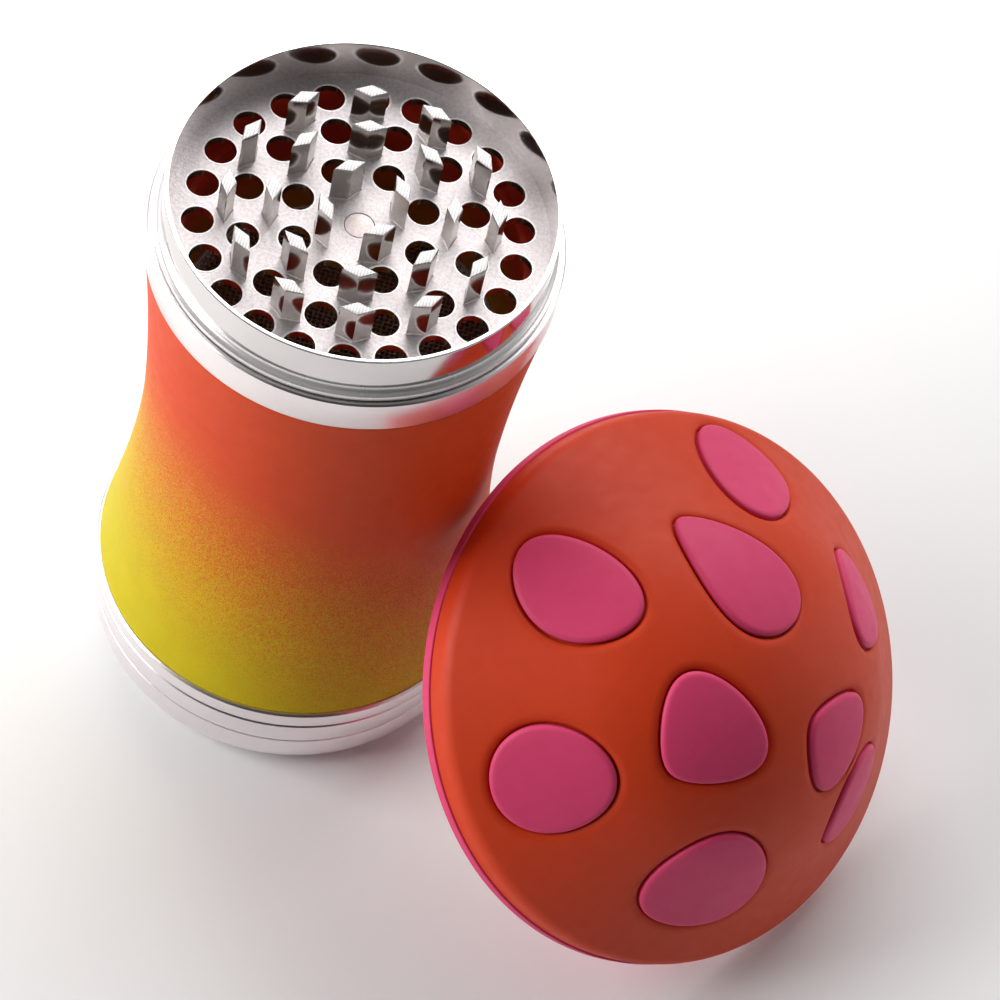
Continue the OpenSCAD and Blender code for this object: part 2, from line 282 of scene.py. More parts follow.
def cast_metal(name, colour, rough, metallic=1.0, grit_depth=0.03, ridge=0.0):
    """Tumbled cast metal: fine grit that sparkles, with darker rubbed patches."""
    n = Nodes(name, rough, metallic)
    grit = n.noise(0.13, 3, 0.7)
    dents = n.cells(0.34).outputs["Distance"]
    n.feed("Roughness", n.levels(grit, 0.35, 0.65, rough - 0.06, rough + 0.12))
    patch = n.mix(n.levels(n.noise(0.5, 4, 0.7), 0.42, 0.62), colour, shade(colour, 0.80))
    bright = n.levels(n.noise(0.22, 3, 0.7), 0.56, 0.70, 0, 0.55)
    base = n.mix(bright, patch, shade(colour, 1.25))
    if ridge:                      # parallel saw marks, ridge mm apart
        place = n.add("ShaderNodeSeparateXYZ")
        n.link(n.coord, place.inputs[0])
        wave = n.math("SINE", n.math("MULTIPLY", place.outputs["X"], 2 * math.pi / (ridge * MM)))
        base = n.mix(n.levels(wave, -0.9, 0.1), shade(colour, 0.66), base)
    n.feed("Base Color", base)
    n.feed("Normal", n.bump(grit, grit_depth, 0.6, n.bump(dents, 0.05, 0.3)))
    return n.mat


def soft_lacquer(name, colour, deep, rough=0.55):
    """Soft-touch lacquer: very fine orange peel, slight mottling, and outer edges made paler as a
    painted highlight.
    """
    n = Nodes(name, rough)
    mottle = n.noise(2.6, 5, 0.6)
    speck = n.levels(n.noise(0.22, 2), 0.60, 0.74)
    pale = shade(colour, 1.3, 0.02)
    base = n.mix(n.levels(mottle, 0.3, 0.7, 0, 0.4), colour, deep)
    base = n.mix(n.math("MULTIPLY", speck, 0.10), base, pale)
    # painted highlight: outer edges mixed towards the paler colour
    n.feed("Base Color", n.mix(n.painted_edge_highlight(0.2), base, pale))
    n.feed("Roughness", n.levels(mottle, 0.3, 0.7, rough - 0.04, rough + 0.05))
    n.feed("Normal", n.bump(n.noise(0.30, 2), 0.006, 0.35, n.bump(n.noise(1.3, 2), 0.008, 0.2)))
    n.set("Specular IOR Level", 0.30)
    n.set("Sheen Weight", 0.05)
    n.set("Sheen Roughness", 0.4)
    n.set("Sheen Tint", colour)
    return n.mat


def sprayed_stem():
    """Two sprayed colours that fade into each other as a mist of fine drops, the fade sunk towards the
    cap as painted shade and reflection, and a tinted bore.
    """
    n = Nodes("sprayed_stem", 0.42)
    orange, deep = srgb(212, 66, 18), srgb(200, 54, 14)
    yellow, lime = srgb(202, 184, 0), srgb(184, 170, 0)
    place = n.add("ShaderNodeSeparateXYZ")
    n.link(n.coord, place.inputs[0])
    z = n.math("MULTIPLY", place.outputs["Z"], 1 / MM)
    # the fade sinks towards +X, the cap's side: painted shade and reddish reflection of the cap over
    # the two-tone spray
    lean = n.math("MULTIPLY", place.outputs["X"], FADE_LEAN_CAP_SHADE / MM)
    drift = n.math("MULTIPLY_ADD", n.noise(22, 2), 8.0, -4.0)
    level = n.math("ADD", n.math("ADD", z, lean), drift)
    fade = n.levels(level, FADE_Z0, FADE_Z1, 0, 1, smooth=True)
    drops = n.noise(0.26, 2, 0.6)
    fine = n.noise(0.13, 2, 0.6)
    mist = n.math("ADD", n.math("MULTIPLY_ADD", drops, 1.8, -0.9),
                  n.math("MULTIPLY_ADD", fine, 2.0, -1.0))
    edge = n.math("MULTIPLY", n.math("MULTIPLY", fade, n.math("SUBTRACT", 1.0, fade)), 4.0)
    cover = n.math("ADD", fade, n.math("MULTIPLY", mist, n.math("ADD", edge, 0.08)), clamp=True)
    top = n.mix(n.levels(n.noise(4, 4), 0.3, 0.7, 0, 0.4), orange, deep)
    low = n.mix(n.levels(n.noise(4, 4), 0.3, 0.7, 0, 0.4), yellow, lime)
    outside = n.mix(cover, low, top)
    across = n.add("ShaderNodeVectorMath", operation="LENGTH")
    flat = n.scaled(1, 1, 0)
    n.link(flat, across.inputs[0])
    bore = n.levels(across.outputs["Value"], (STEM_BORE + 1.1) * MM, (STEM_BORE + 2.1) * MM, 1, 0)
    rise = n.levels(n.math("ADD", z, drift), BORE_FADE_Z0, BORE_FADE_Z1, smooth=True)
    tint = n.mix(rise, srgb(196, 146, 44), srgb(206, 62, 38))
    n.feed("Base Color", n.mix(bore, outside, tint))
    n.feed("Roughness", n.levels(n.noise(2.2, 4), 0.3, 0.7, 0.50, 0.58))
    n.feed("Normal", n.bump(drops, 0.010, 0.3, n.bump(n.noise(1.5, 2), 0.008, 0.2)))
    n.set("Specular IOR Level", 0.16)
    return n.mat


def rubber(name, colour, rough):
    """Moulded rubber or nylon with a fine matt grain."""
    n = Nodes(name, rough)
    grain = n.noise(0.25, 4, 0.6)
    n.feed("Base Color", n.mix(n.levels(grain, 0.3, 0.7), colour, shade(colour, 0.75)))
    n.feed("Roughness", n.levels(grain, 0.3, 0.7, rough - 0.06, rough + 0.08))
    n.feed("Normal", n.bump(grain, 0.01, 0.35))
    return n.mat


M = {
    "satin": turned_metal("satin_metal", srgb(244, 238, 239), 0.30, grain=0.4, swirl=0.002),
    "rim": turned_metal("polished_metal", srgb(222, 218, 217), 0.10, grain=0.3, swirl=0.002),
    "cast": cast_metal("cast_metal", srgb(216, 208, 208), 0.44, 0.75, 0.05),
    "tooth": turned_metal("tooth_side", srgb(206, 202, 198), 0.13, grain=0.8, swirl=0.006),
    "peened": cast_metal("tooth_top", srgb(226, 222, 222), 0.42, 0.7, 0.07, ridge=0.38),
    "stem": sprayed_stem(),
    "orange": soft_lacquer("cap_orange", srgb(208, 60, 16), srgb(198, 52, 12)),
    "pink": soft_lacquer("cap_pink", srgb(220, 66, 112), srgb(210, 56, 102)),
    "gasket": rubber("gasket_rubber", srgb(26, 25, 26), 0.5),
    # near-white ring round each hole: painted highlight of the hole's chamfer
    "edge": cast_metal("hole_ring_highlight", srgb(255, 250, 250), 0.34, 0.35, 0.01),
    "flange": turned_metal("flange_metal", srgb(240, 235, 235), 0.26, 0.3, 0.001, metallic=0.55),
    # nickel-plated magnet; its faint pink tint is a painted reflection of the pink cap
    "magnet": cast_metal("magnet_plate_pink_reflection", srgb(255, 238, 236), 0.40, 0.35),
    "wire": turned_metal("screen_wire", srgb(178, 162, 148), 0.34),
    "nylon": rubber("white_nylon", srgb(226, 224, 216), 0.42),
    "screw": turned_metal("screw_steel", srgb(168, 166, 166), 0.24),
}


# ---------------------------------------------------------------- mesh helpers
def make(name, verts, faces, mats, body, slot, nodes=(), sharp=32.0, kinds=None, place=None):
    """One smooth-shaded, welded piece from points in mm; edges over sharp degrees stay crisp."""
    mesh = bpy.data.meshes.new(name)
    pts = np.asarray(verts, float)
    if place is not None:
        pts = pts @ np.array(place.to_3x3()).T + np.array(place.translation)
    mesh.from_pydata((pts * MM).tolist(), [], [tuple(int(i) for i in f) for f in faces])
    for m in mats:
        mesh.materials.append(m)
    if kinds is not None:
        mesh.polygons.foreach_set("material_index", np.asarray(kinds, np.int32))
    bm = bmesh.new()
    bm.from_mesh(mesh)
    bmesh.ops.remove_doubles(bm, verts=bm.verts, dist=0.004 * MM)
    bmesh.ops.dissolve_degenerate(bm, dist=0.002 * MM, edges=bm.edges)
    bmesh.ops.recalc_face_normals(bm, faces=bm.faces)
    limit = math.radians(sharp)
    for f in bm.faces:
        f.smooth = True
    for e in bm.edges:
        e.smooth = len(e.link_faces) == 2 and e.calc_face_angle(0) < limit
    bm.to_mesh(mesh)
    bm.free()
    obj = bpy.data.objects.new(name, mesh)
    bpy.context.scene.collection.objects.link(obj)
    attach(obj, body)
    if nodes:
        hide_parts(*nodes)
    return obj


def arc(cr, cz, r, a0, a1, n=10):
    """Points of an arc about (cr, cz), from angle a0 to a1 in degrees."""
    return [(cr + r * math.cos(math.radians(a0 + (a1 - a0) * i / n)),
             cz + r * math.sin(math.radians(a0 + (a1 - a0) * i / n))) for i in range(n + 1)]


def soften(points, r, closed=True, n=4):
    """The outline with each sharp corner rounded to about radius r."""
    out, count = [], len(points)
    for i, p in enumerate(points):
        a, b = points[i - 1], points[(i + 1) % count]
        if not closed and i in (0, count - 1):
            out.append(p)
            continue
        p, a, b = np.array(p, float), np.array(a, float), np.array(b, float)
        u, v = a - p, b - p
        lu, lv = np.linalg.norm(u), np.linalg.norm(v)
        if lu < 1e-6 or lv < 1e-6:
            continue
        u, v = u / lu, v / lv
        turn = math.degrees(math.acos(max(-1, min(1, -float(u @ v)))))
        if turn < 25 or p[0] < 1e-6:
            out.append(tuple(p))
            continue
        cut = min(r * math.tan(math.radians(turn) / 2), 0.42 * lu, 0.42 * lv)
        s, e = p + u * cut, p + v * cut
        for k in range(n + 1):
            t = k / n
            out.append(tuple((1 - t) ** 2 * s + 2 * t * (1 - t) * p + t * t * e))
    return out


def turn_profile(profile, closed=True, steps=ROUND_STEPS):
    """Points and faces of a profile of (radius, height) turned about Z."""
    ang = np.arange(steps) * 2 * math.pi / steps
    verts, faces = [], []
    for r, z in profile:
        verts += [(r * math.cos(a), r * math.sin(a), z) for a in ang]
    rows = len(profile)
    for i in range(rows if closed else rows - 1):
        j = (i + 1) % rows
        if profile[i][0] < 1e-9 and profile[j][0] < 1e-9:
            continue
        for k in range(steps):
            q = (k + 1) % steps
            faces.append((i * steps + k, i * steps + q, j * steps + q, j * steps + k))
    return verts, faces


def lathe(name, profile, mat, body, slot, nodes=(), edge=0.12, sharp=40, place=None):
    """A turned piece with softened corners."""
    verts, faces = turn_profile(soften(profile, edge))
    return make(name, verts, faces, [mat], body, slot, nodes, sharp, place=place)


def joined(*parts):
    """Several (points, faces, material index) lists as one."""
    verts, faces, kinds = [], [], []
    for v, f, k in parts:
        base = len(verts)
        verts += [tuple(p) for p in v]
        faces += [tuple(i + base for i in face) for face in f]
        kinds += [k] * len(f)
    return verts, faces, kinds


def moved(verts, angle=0.0, r=0.0, z=0.0):
    """Points moved out to radius r, raised by z and turned by angle degrees about Z."""
    a = math.radians(angle)
    c, s = math.cos(a), math.sin(a)
    return [((x + r) * c - y * s, (x + r) * s + y * c, h + z) for x, y, h in verts]


def loft(rings, cap_start=False, cap_end=False):
    """Quads between rings of equal length, with optional end caps."""
    n = len(rings[0])
    verts = [tuple(p) for ring in rings for p in ring]
    faces = []
    for i in range(len(rings) - 1):
        for k in range(n):
            q = (k + 1) % n
            faces.append((i * n + k, i * n + q, (i + 1) * n + q, (i + 1) * n + k))
    if cap_start:
        faces.append(tuple(reversed(range(n))))
    if cap_end:
        faces.append(tuple((len(rings) - 1) * n + k for k in range(n)))
    return verts, faces


def axis_distance(point):
    return math.hypot(point[0], point[1])


# ---------------------------------------------------------------- base and stem
def base_cup():
    z0, z1, r = span("base_cup")
    g, bz = BAND_STEP, BASE_BAND_Z
    profile = (
        [(0, z0), (FOOT_R, z0)] + arc(FOOT_R, FOOT_ROUND, r - FOOT_R, -80, 0)
        + [(r, bz), (r - g, bz + 0.04), (r - g, bz + 0.30), (r, bz + 0.34), (r, z1 - g), (r - g, z1)]
        + [(BASE_BORE, z1), (BASE_BORE, BASE_FLOOR + BASE_INNER_ROUND)]
        + arc(BASE_BORE - BASE_INNER_ROUND, BASE_FLOOR + BASE_INNER_ROUND, BASE_INNER_ROUND, -10, -90)
        + [(0, BASE_FLOOR)])
    lathe("base_cup_turned", profile, M["satin"], "base", "satin_metal", ["base_cup"], 0.10)


def lower_collar():
    z0, z1, r = span("lower_collar")
    seat = span("lower_gasket")[1]
    profile = [(SPIGOT_BORE, z0), (SPIGOT_R, z0), (SPIGOT_R, seat), (r, seat), (r, z1 - 0.3),
               (r - 0.3, z1), (SPIGOT_BORE, z1)]
    lathe("lower_collar_turned", profile, M["satin"], "stem", "satin_metal", ["lower_collar"], 0.10)


def stem_radius(z, z0, z1):
    """The stem's outline: a smooth curve through its lower edge, waist and top."""
    if z < WAIST_Z:
        return WAIST_R + (SHELL_R0 - WAIST_R) * ((WAIST_Z - z) / (WAIST_Z - z0)) ** 1.75
    return WAIST_R + (SHELL_R1 - WAIST_R) * ((z - WAIST_Z) / (z1 - WAIST_Z)) ** 1.9


def stem_shell():
    z0, z1, _ = span("stem_shell")
    steps = 72
    rise = [z0 + (z1 - z0) * i / steps for i in range(steps + 1)]
    outside = [(stem_radius(z, z0, z1), z) for z in rise]
    outside[0] = (outside[0][0] - 0.25, z0)
    outside.insert(1, (stem_radius(z0 + 0.3, z0, z1), z0 + 0.3))
    profile = [(STEM_LEDGE, z0)] + outside + [
        (STEM_BORE, z1), (STEM_BORE, SCREEN_Z - SEAT_DOWN), (STEM_LEDGE, SCREEN_Z - SEAT_DOWN)]
    lathe("stem_shell_sprayed", profile, M["stem"], "stem", "stem_spray", ["stem_shell"], 0.10)


def top_collar():
    z0, z1, r = span("top_collar")
    profile = soften([(STEM_BORE, z0), (r - 0.15, z0), (r, z0 + 0.35), (r, z1 - 0.22), (r - 0.22, z1),
                      (COLLAR_BORE, z1), (COLLAR_BORE, z0 + COLLAR_LEDGE),
                      (STEM_BORE, z0 + COLLAR_LEDGE)], 0.07)
    verts, faces = turn_profile(profile)
    sprayed = [int(any(axis_distance(verts[i]) < COLLAR_BORE - 0.5 for i in f)) for f in faces]
    make("top_collar_turned", verts, faces, [M["satin"], M["stem"]], "stem", "satin_metal",
         ["top_collar"], 40, kinds=sprayed)


def gaskets():
    for node, body, inner in (("lower_gasket", "base_seal", BASE_BORE + 0.2),
                              ("upper_gasket", "stem_seal", PLATE_SPIGOT_R + 0.1)):
        z0, z1, r = span(node)
        lathe(node + "_ring", [(inner, z0), (r, z0), (r, z1), (inner, z1)], M["gasket"], body,
              "gasket", [node], 0.15)


def screen_ring():
    z, low, high = SCREEN_Z, SCREEN_Z - SEAT_DOWN, SCREEN_Z + SEAT_UP
    profile = [(SEAT_IN, low), (SEAT_OUT, low), (SEAT_OUT, high), (SEAT_WALL, high),
               (SEAT_WALL, z), (SEAT_IN, z)]
    lathe("screen_ring_turned", profile, M["satin"], "stem", "satin_metal", ["screen_ring"], 0.08)


def screen_mesh():
    """Plain-woven wire cloth: each wire waves over and under those that cross it."""
    z_mid = SCREEN_Z + 0.25
    sides, count = WIRE_SIDES, int(SCREEN_R / WIRE_PITCH)
    verts, faces = [], []
    for across in (0, 1):
        for i in range(-count, count + 1):
            off = i * WIRE_PITCH
            half = math.sqrt(max(SCREEN_R ** 2 - off ** 2, 0))
            if half < WIRE_PITCH:
                continue
            n = int(2 * half / WIRE_PITCH * 2)
            t = np.linspace(-half, half, n + 1)
            phase = math.pi * (i + across)
            wave = z_mid + (WIRE_R * 0.95) * np.cos(math.pi * t / WIRE_PITCH + phase)
            base = len(verts)
            for a, h in zip(t, wave):
                for k in range(sides):
                    ang = 2 * math.pi * k / sides
                    side, up = WIRE_R * math.cos(ang), WIRE_R * math.sin(ang)
                    verts.append((off + side, a, h + up) if across else (a, off + side, h + up))
            for j in range(n):
                for k in range(sides):
                    q = (k + 1) % sides
                    faces.append((base + j * sides + k, base + j * sides + q,
                                  base + (j + 1) * sides + q, base + (j + 1) * sides + k))
    make("screen_cloth", verts, faces, [M["wire"]], "stem", "screen_wire", ["screen_mesh"], 80)


# ---------------------------------------------------------------- tooth plate
POLISHED, CAST, HOLE_HIGHLIGHT, SPRAYED, FLANGE = range(5)        # materials of the plate's faces
SIDE, TOP, ROOT = range(3)                              # materials of a tooth's faces


def ring_places(table):
    """Angle and radius of every feature in the rings of a table."""
    return [(turn + 360 * i / count, r) for count, r, turn in table for i in range(count)]


def circle(cx, cy, r, n):
    return [(cx + r * math.cos(2 * math.pi * k / n), cy + r * math.sin(2 * math.pi * k / n))
            for k in range(n)]


def circle_at(r, z, n=HOLE_STEPS, x=0, y=0):
    """A level ring of points at height z."""
    return [(px, py, z) for px, py in circle(x, y, r, n)]


def polar(angle, r):
    return r * math.cos(math.radians(angle)), r * math.sin(math.radians(angle))


def plate_face(z, outer_r, hole_r, centre_r):
    """A flat disc at height z with every hole cut out of it, the one for the magnet included."""
    places = [polar(a, r) for a, r in ring_places(HOLES)]
    loops = [circle(0, 0, outer_r, ROUND_STEPS)]
    loops += [circle(x, y, hole_r, HOLE_STEPS) for x, y in places]
    loops.append(circle(0, 0, centre_r, HOLE_STEPS))
    pts, edges = [], []
    for loop in loops:
        base = len(pts)
        pts += loop
        edges += [(base + i, base + (i + 1) % len(loop)) for i in range(len(loop))]
    out, _, tris, *_ = delaunay_2d_cdt([Vector(p) for p in pts], edges, [], 0, 1e-6)
    xy = np.array([(p.x, p.y) for p in out])
    keep = []
    for t in tris:
        c = xy[list(t)].mean(axis=0)
        if any((c[0] - x) ** 2 + (c[1] - y) ** 2 < (hole_r * 0.999) ** 2 for x, y in places):
            continue
        if c @ c < (centre_r * 0.999) ** 2:
            continue
        keep.append(tuple(t))
    return [(x, y, z) for x, y in xy], keep


def diamond(long, short, corner, n=4):
    """Outline of a diamond, long along Y, with its four corners rounded."""
    tips = [(short / 2, 0), (0, long / 2), (-short / 2, 0), (0, -long / 2)]
    return soften(tips, corner, n=n) if corner > 0 else tips


def tooth(height, root=0.2, top_edge=0.16):
    """A diamond tooth standing on z = 0: a flared root, straight sides and a rounded top edge."""
    half_s, half_l = TOOTH_SHORT / 2, TOOTH_LONG / 2
    side_d = half_s * half_l / math.hypot(half_s, half_l)      # from the middle to a side

    def ring(grow, z):
        k = 1 + grow / side_d
        return [(x, y, z) for x, y in diamond(TOOTH_LONG * k, TOOTH_SHORT * k, 0.16 + grow)]
    rings = [ring(root, -0.25), ring(root, 0.0)]
    for k in range(1, 6):
        a = math.pi / 2 * k / 5
        rings.append(ring(root * (1 - math.sin(a)), root * (1 - math.cos(a))))
    rings.append(ring(0, height * 0.5))
    for k in range(0, 4):
        a = math.pi / 2 * k / 3
        rings.append(ring(-top_edge * (1 - math.cos(a)), height - top_edge * (1 - math.sin(a))))
    return loft(rings, cap_end=True)


def tooth_plate():
    """The rim, the perforated plate, the flange and the spigot below it, and the magnet's boss."""
    rim_in, z_top = RIM_R - RIM_WALL, PLATE_Z + RIM_H
    z_low, _, _ = span("tooth_plate")
    fl0 = span("upper_gasket")[1]
    fl1 = fl0 + FLANGE_T
    under = PLATE_Z - PLATE_T
    inner = PLATE_SPIGOT_R - PLATE_SPIGOT_WALL
    foot = [(RIM_R + FLARE * (1 - math.sin(a)), fl1 + 0.9 * (1 - math.cos(a)))
            for a in np.linspace(math.pi / 2, 0, 9)]
    wall = (soften([(rim_in, PLATE_Z), (rim_in, z_top), (RIM_R, z_top), foot[0]], 0.11, closed=False)
            + foot[1:]
            + soften([foot[-1], (FLANGE_R, fl1), (FLANGE_R, fl0), (PLATE_SPIGOT_R, fl0),
                      (PLATE_SPIGOT_R, z_low), (inner, z_low), (inner, under)], 0.09, closed=False)[1:])
    parts = [(*turn_profile(wall, closed=False), POLISHED)]
    top = plate_face(PLATE_Z, rim_in, HOLE_R + EDGE_W, MAGNET_R + 0.12)
    low = plate_face(under, inner, HOLE_R, BOSS_R)
    parts += [(*top, CAST), (*low, CAST)]
    # the raised ring round each hole carries the near-white painted highlight
    hole_ring_highlight = ((EDGE_W, 0), (EDGE_W - 0.05, EDGE_UP), (0.04, EDGE_UP), (0, -EDGE_UP))
    for a, r in ring_places(HOLES):
        x, y = polar(a, r)
        rings = [circle_at(HOLE_R + grow, PLATE_Z + dz, x=x, y=y) for grow, dz in hole_ring_highlight]
        parts.append((*loft(rings), HOLE_HIGHLIGHT))
        bore = [circle_at(HOLE_R, z, x=x, y=y) for z in (PLATE_Z - EDGE_UP, under)]
        parts.append((*loft(bore), POLISHED))
    seat = [circle_at(r, PLATE_Z + dz) for r, dz in
            ((MAGNET_R + 0.12, 0), (MAGNET_R + 0.06, -0.08), (MAGNET_R + MAGNET_GAP, -1.8))]
    parts.append((*loft(seat, cap_end=True), CAST))
    boss = [circle_at(BOSS_R, z) for z in (under, PLATE_Z - BOSS_H)]
    parts.append((*loft(boss, cap_end=True), CAST))
    verts, faces, kinds = joined(*parts)

    def kind(face, old):
        """Turned faces: the spigot's inside is sprayed, and the flange is duller than the rim."""
        far = [axis_distance(verts[i]) for i in face]
        if old != POLISHED:
            return old
        if max(far) < inner + 0.05 and verts[face[0]][2] < under + 0.01:
            return SPRAYED
        return FLANGE if min(far) > RIM_R + 0.01 else old
    kinds = [kind(f, k) for f, k in zip(faces, kinds)]
    mats = [M["rim"], M["cast"], M["edge"], M["stem"], M["flange"]]
    make("tooth_plate_body", verts, faces, mats, "chamber", "polished_metal", ["tooth_plate"], 24,
         kinds=kinds)
    teeth_at("tooth_plate_teeth", TEETH, TOOTH_H, PLATE_Z, "chamber", "tooth_plate")


def teeth_at(name, table, height, z, body, node, down=False, place=None):
    """All the teeth of a plate: polished sides, a sawn top and a cast root."""
    verts, faces, kinds = [], [], []
    v, f = tooth(height)
    top = max(p[2] for p in v) - 1e-6
    one_kinds = [TOP if all(v[i][2] > top - 0.17 for i in face) else
                 ROOT if all(v[i][2] < 0.25 for i in face) else SIDE for face in f]
    if down:
        v, f = [(x, y, -h) for x, y, h in v], [face[::-1] for face in f]
    for a, r in ring_places(table):
        base = len(verts)
        verts += moved(v, a, r, z)
        faces += [tuple(i + base for i in face) for face in f]
        kinds += one_kinds
    make(name, verts, faces, [M["tooth"], M["peened"], M["cast"]], body, "polished_metal", [node], 26,
         kinds=kinds, place=place)


def magnet(name, node, body, z_top, thick, place=None):
    profile = [(0, z_top - thick), (MAGNET_R, z_top - thick), (MAGNET_R, z_top), (0, z_top)]
    lathe(name, profile, M["magnet"], body, "magnet", [node], 0.12, place=place)


# ---------------------------------------------------------------- cap
def dome_outline(grow=0.0, n=500):
    """(radius, height) of the dome from crown to base, moved outwards by grow."""
    crown = [(CROWN_R + grow, a) for a in np.linspace(0, FLANK, n)]
    line = [(r * math.sin(a), CAP_H - CROWN_R + r * math.cos(a)) for r, a in crown]
    bend = np.linspace(math.pi / 2 - FLANK, 0, n // 4)
    ends = line[-1], (DOME_R - SHOULDER_R + (SHOULDER_R + grow) * math.cos(bend[0]),
                      WALL_H + (SHOULDER_R + grow) * math.sin(bend[0]))
    line += [tuple(np.array(ends[0]) * (1 - u) + np.array(ends[1]) * u)
             for u in np.linspace(0, 1, n // 2)[1:-1]]
    line += [(DOME_R - SHOULDER_R + (SHOULDER_R + grow) * math.cos(a),
              WALL_H + (SHOULDER_R + grow) * math.sin(a)) for a in bend]
    line += [(DOME_R + grow, z) for z in np.linspace(WALL_H, 0, n // 4)[1:]]
    return np.array(line)


def dome_line():
    """The outline's radii, heights and arc lengths from the crown."""
    r, z = dome_outline().T
    return r, z, np.concatenate([[0], np.cumsum(np.hypot(np.diff(r), np.diff(z)))])


DOME_LINE = dome_line()


def dome_z(r):
    """Height of the crown or flank at radius r."""
    if r < CROWN_EDGE:
        return CAP_H - CROWN_R + math.sqrt(CROWN_R ** 2 - r * r)
    return FLANK_Z + (FLANK_R - r) * math.tan(FLANK)


def dome_parts(p):
    """For each point: height above the dome, and the dome's outward direction as (radius, height)."""
    r, z = np.hypot(p[:, 0], p[:, 1]), p[:, 2]
    down = CAP_H - CROWN_R
    far = np.maximum(np.hypot(r, z - down), 1e-9)
    to_crown = np.stack([far - CROWN_R, r / far, (z - down) / far])
    flat = np.full_like(r, math.sin(FLANK))
    to_flank = np.stack([(r - FLANK_R) * math.sin(FLANK) + (z - FLANK_Z) * math.cos(FLANK),
                         flat, np.full_like(r, math.cos(FLANK))])
    dr, dz = r - (DOME_R - SHOULDER_R), z - WALL_H
    bend = np.maximum(np.hypot(dr, dz), 1e-9)
    to_bend = np.stack([bend - SHOULDER_R, dr / bend, dz / bend])
    to_wall = np.stack([r - DOME_R, np.ones_like(r), np.zeros_like(r)])
    on_crown = r * math.cos(FLANK) < (z - down) * math.sin(FLANK)
    on_flank = dz * math.sin(FLANK) > dr * math.cos(FLANK)
    lower = np.where(dz > 0, to_bend, to_wall)
    return np.where(on_crown, to_crown, np.where(on_flank, to_flank, lower))


def dome_f(p):
    """Below zero inside the dome and above zero outside it."""
    return dome_parts(p)[0]


def dome_normal(p):
    _, nr, nz = dome_parts(p)
    r = np.maximum(np.hypot(p[:, 0], p[:, 1]), 1e-9)
    return np.stack([nr * p[:, 0] / r, nr * p[:, 1] / r, nz], axis=1)


def to_flat(p):
    """Dome points laid out flat: angle kept, distance from the middle is arc length from the crown."""
    r, z, s = DOME_LINE
    rr = np.hypot(p[:, 0], p[:, 1])
    arc_len = np.where(rr < FLANK_R, np.interp(rr, r, s), np.interp(-p[:, 2], -z, s))
    ang = np.arctan2(p[:, 1], p[:, 0])
    return np.stack([arc_len * np.cos(ang), arc_len * np.sin(ang)], axis=1)


def from_flat(q):
    """The way back from to_flat."""
    r, z, s = DOME_LINE
    d = np.hypot(q[:, 0], q[:, 1])
    ang = np.arctan2(q[:, 1], q[:, 0])
    rr, zz = np.interp(d, s, r), np.interp(d, s, z)
    return np.stack([rr * np.cos(ang), rr * np.sin(ang), zz], axis=1)


def spot_frame(spot):
    """The tangent frame in which a spot's outline is drawn."""
    az, dist, *_, turn = spot
    lean = math.atan2(dome_z(dist - 0.2) - dome_z(dist + 0.2), 0.4)
    return (Matrix.Rotation(math.radians(az), 4, "Z") @ Matrix.Translation((dist, 0, dome_z(dist)))
            @ Matrix.Rotation(lean, 4, "Y") @ Matrix.Rotation(math.radians(turn), 4, "Z"))


def egg(spot, grow, n):
    """A spot's outline in its tangent frame, moved outwards by grow."""
    _, _, a, b, k, _ = spot
    t = np.arange(n) * 2 * math.pi / n
    p = np.stack([a * np.cos(t), b * np.sin(t) * (1 - k * np.cos(t))], axis=1)
    tangent = np.roll(p, -1, axis=0) - np.roll(p, 1, axis=0)
    normal = np.stack([tangent[:, 1], -tangent[:, 0]], axis=1)
    normal /= np.linalg.norm(normal, axis=1, keepdims=True)
    return p + grow * normal


def on_dome(spot, xy):
    """Where lines through xy, along the spot frame's Z, meet the dome."""
    m = np.array(spot_frame(spot))
    base = np.c_[xy, np.zeros(len(xy))] @ m[:3, :3].T + m[:3, 3]
    along = m[:3, 2]
    lo, hi = np.full(len(xy), -16.0), np.full(len(xy), 6.0)
    for _ in range(44):
        mid = (lo + hi) / 2
        out = dome_f(base + mid[:, None] * along) > 0
        hi, lo = np.where(out, mid, hi), np.where(out, lo, mid)
    return base + lo[:, None] * along


def inside(points, loop):
    """Which 2-D points lie inside a closed loop."""
    hit = np.zeros(len(points), bool)
    x, y = points[:, 0], points[:, 1]
    for (x0, y0), (x1, y1) in zip(loop, np.roll(loop, -1, axis=0)):
        if y0 == y1:
            continue
        cross = ((y0 > y) != (y1 > y)) & (x < (x1 - x0) * (y - y0) / (y1 - y0) + x0)
        hit ^= cross
    return hit


def spot_pocket(spot, rolls):
    """The pocket under a spot and the soft roll that leads down to it."""
    floor = on_dome(spot, egg(spot, SPOT_GAP - 0.02, SPOT_STEPS))
    rings = [floor - dome_normal(floor) * (SPOT_DEEP + 0.05)]
    for g in rolls:
        u = (g - SPOT_GAP) / ROLL_W
        drop = ROLL_DROP * (1 - math.sqrt(max(1 - (1 - u) ** 2, 0)))
        p = on_dome(spot, egg(spot, g, SPOT_STEPS))
        rings.append(p - dome_normal(p) * drop)
    return loft(rings, cap_start=True)


